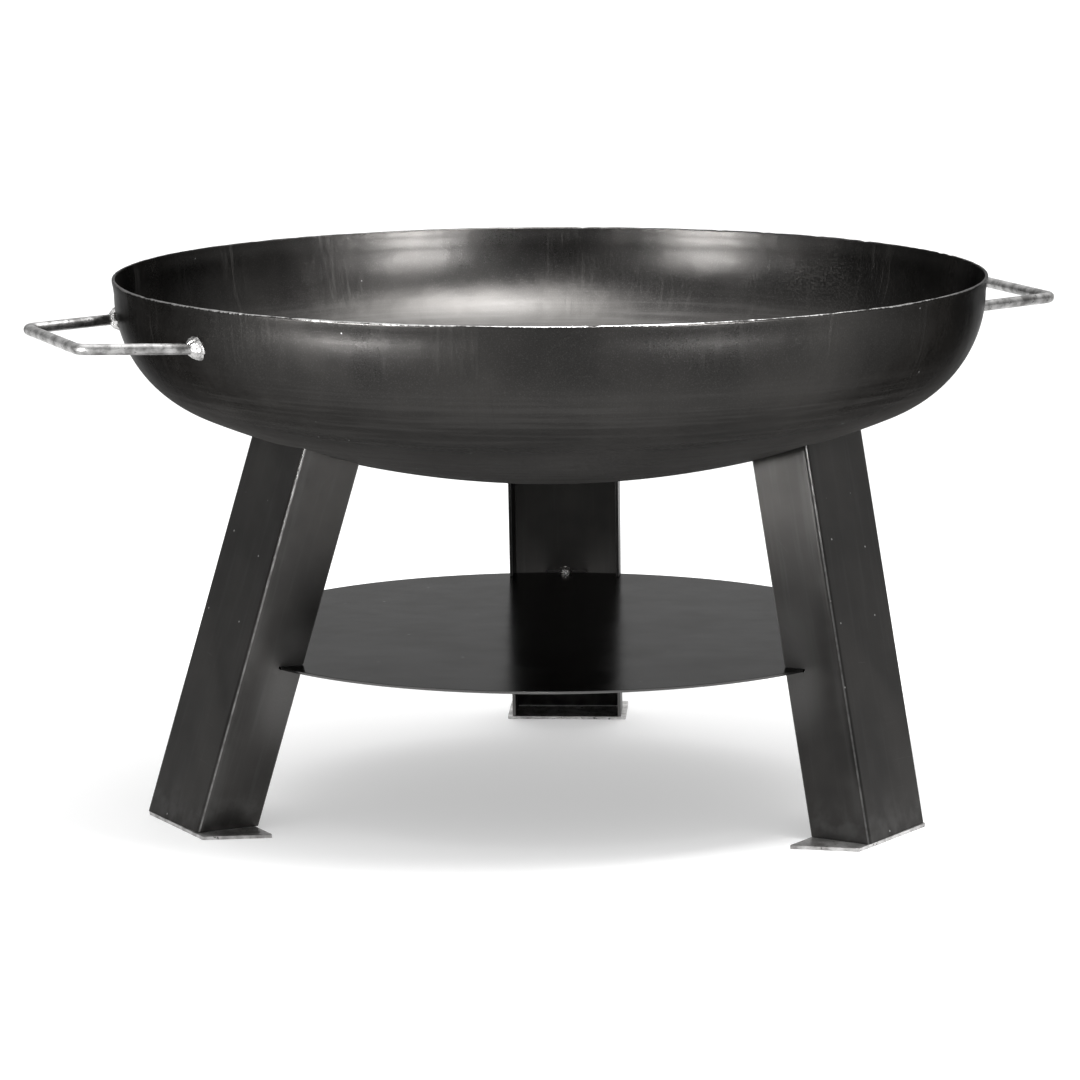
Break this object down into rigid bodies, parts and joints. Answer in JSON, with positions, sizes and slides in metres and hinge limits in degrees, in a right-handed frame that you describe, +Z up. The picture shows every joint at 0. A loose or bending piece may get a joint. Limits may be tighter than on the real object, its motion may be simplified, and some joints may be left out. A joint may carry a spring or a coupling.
{
  "type": "fire bowl on a stand",
  "caption": "Wide dished steel fire bowl with bar handles, resting on a stand of folded channel legs that carry a round shelf for logs.",
  "frame": {"origin": "on the bowl's axis, on the ground", "axes": "+Z up, +Y towards the rear leg, +X to the right with the rear leg at the back"},
  "size_m": [0.9334, 0.8, 0.481],
  "materials": {
    "bowl_steel": "dark oiled mill scale, soft gloss, bare ground rim",
    "leg_steel": "dark mill scale sheet, bare bright folds",
    "shelf_steel": "grey mill scale sheet, mottled, semi gloss",
    "foot_steel": "bare steel plate, light grey",
    "handle_steel": "drawn round bar, bare, streaked and scratched",
    "weld_bead": "bright lumpy weld metal",
    "zinc_plate": "bright zinc plating"
  },
  "bodies": {
    "stand": {"shelf": "shelf_steel", "leg_rear": "leg_steel", "foot_plate_rear": "foot_steel", "shelf_tab_rear": "leg_steel", "shelf_screw_rear": "zinc_plate", "shelf_washer_rear": "zinc_plate", "shelf_nut_rear": "zinc_plate", "leg_front_left": "leg_steel", "foot_plate_front_left": "foot_steel", "shelf_tab_front_left": "leg_steel", "shelf_screw_front_left": "zinc_plate", "shelf_washer_front_left": "zinc_plate", "shelf_nut_front_left": "zinc_plate", "leg_front_right": "leg_steel", "foot_plate_front_right": "foot_steel", "shelf_tab_front_right": "leg_steel", "shelf_screw_front_right": "zinc_plate", "shelf_washer_front_right": "zinc_plate", "shelf_nut_front_right": "zinc_plate"},
    "bowl": {"bowl": "bowl_steel", "handle_right": "handle_steel", "handle_left": "handle_steel", "handle_weld_right_rear": "weld_bead", "handle_weld_right_front": "weld_bead", "handle_weld_left_front": "weld_bead", "handle_weld_left_rear": "weld_bead"}
  },
  "joints": [
    {"name": "bowl_lift", "type": "slide", "parent": "stand", "child": "bowl", "axis": [0, 0, 1], "range_m": [0, 0.3]}
  ]
}
